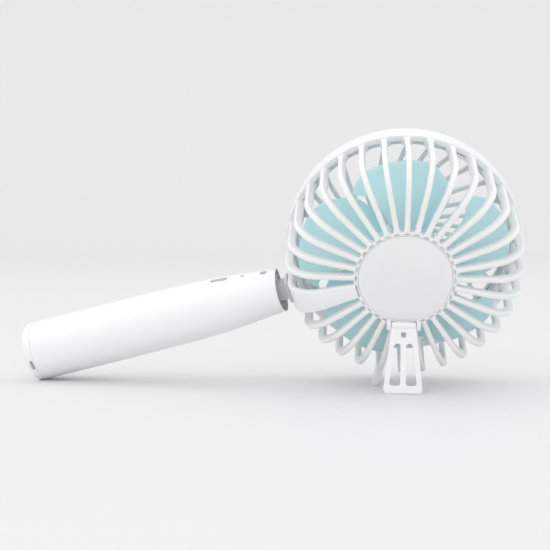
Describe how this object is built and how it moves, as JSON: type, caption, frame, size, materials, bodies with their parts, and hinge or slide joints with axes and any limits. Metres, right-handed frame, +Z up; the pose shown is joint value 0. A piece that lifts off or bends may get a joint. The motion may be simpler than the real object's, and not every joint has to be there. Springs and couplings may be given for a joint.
{
  "type": "handheld electric fan",
  "caption": "Rechargeable handheld fan set down on its fold-out kickstand, with slatted rear guard, swirled front grille, mint impeller, brushless motor and tilting battery handle.",
  "frame": {"origin": "centre of the bounding box on the table the fan stands on", "axes": "+Z up; +Y forward, the way the fan blows (and up by its lean); -X towards the end of the handle; the kickstand is on -Y"},
  "size_m": [0.2262, 0.0762, 0.1131],
  "materials": {
    "white_plastic": "satin moulded",
    "grey_plastic": "fine matt moulded",
    "mint_plastic": "smooth moulded",
    "dark_plastic": "matt moulded",
    "motor_metal": "cast",
    "magnet": "sintered, lacquered",
    "stator": "lacquered windings",
    "steel": "bright",
    "board": "solder mask",
    "battery_wrap": "shrink wrapped",
    "lens": "clear"
  },
  "bodies": {
    "handle": {"handle_shell": "white_plastic", "end_cap": "white_plastic", "hinge_pin": "steel", "friction_washer_1": "steel", "friction_washer_2": "steel", "circuit_board": "board", "charging_socket": "steel", "switch_body": "dark_plastic", "light_pipe": "lens", "battery_cell": "battery_wrap", "battery_sled": "dark_plastic", "plus_contact": "steel", "minus_spring": "steel", "minus_contact": "steel"},
    "head": {"rear_guard": "white_plastic", "hub_cap": "grey_plastic", "neck_bracket": "grey_plastic", "neck_screw": "steel", "motor_base": "motor_metal", "stator_core": "stator", "motor_board": "board", "bearing_front": "steel", "bearing_rear": "steel", "motor_screw_1": "steel", "motor_screw_2": "steel", "motor_screw_3": "steel", "stand_pin": "steel"},
    "cover": {"front_cover": "white_plastic", "front_grille": "white_plastic", "cover_badge": "grey_plastic"},
    "rotor": {"impeller": "mint_plastic", "motor_shaft": "steel", "magnet_ring": "magnet"},
    "stand": {"kickstand": "white_plastic"},
    "button": {"power_button": "grey_plastic"}
  },
  "joints": [
    {"name": "neck_tilt", "type": "hinge", "parent": "handle", "child": "head", "pos_m": [0.00127, 0.00341, 0.04144], "axis": [0.274, 0.3835, -0.882], "range_deg": [-25, 25]},
    {"name": "cover_twist", "type": "hinge", "parent": "head", "child": "cover", "pos_m": [0.06051, 0.01089, 0.06309], "axis": [0, 0.9171, 0.3987], "range_deg": [0, 12]},
    {"name": "impeller_spin", "type": "hinge", "parent": "head", "child": "rotor", "pos_m": [0.06051, 0.01089, 0.06309], "axis": [0, 0.9171, 0.3987], "continuous": true},
    {"name": "kickstand_fold", "type": "hinge", "parent": "head", "child": "stand", "pos_m": [0.06015, -0.0155, 0.0285], "axis": [0.9999, 0.0068, -0.0156], "range_deg": [0, 30]},
    {"name": "button_press", "type": "slide", "parent": "handle", "child": "button", "axis": [0, -0.9171, -0.3987], "range_m": [0, 0.0008], "stiffness_N_per_m": 600, "springref_m": -0.0005}
  ]
}
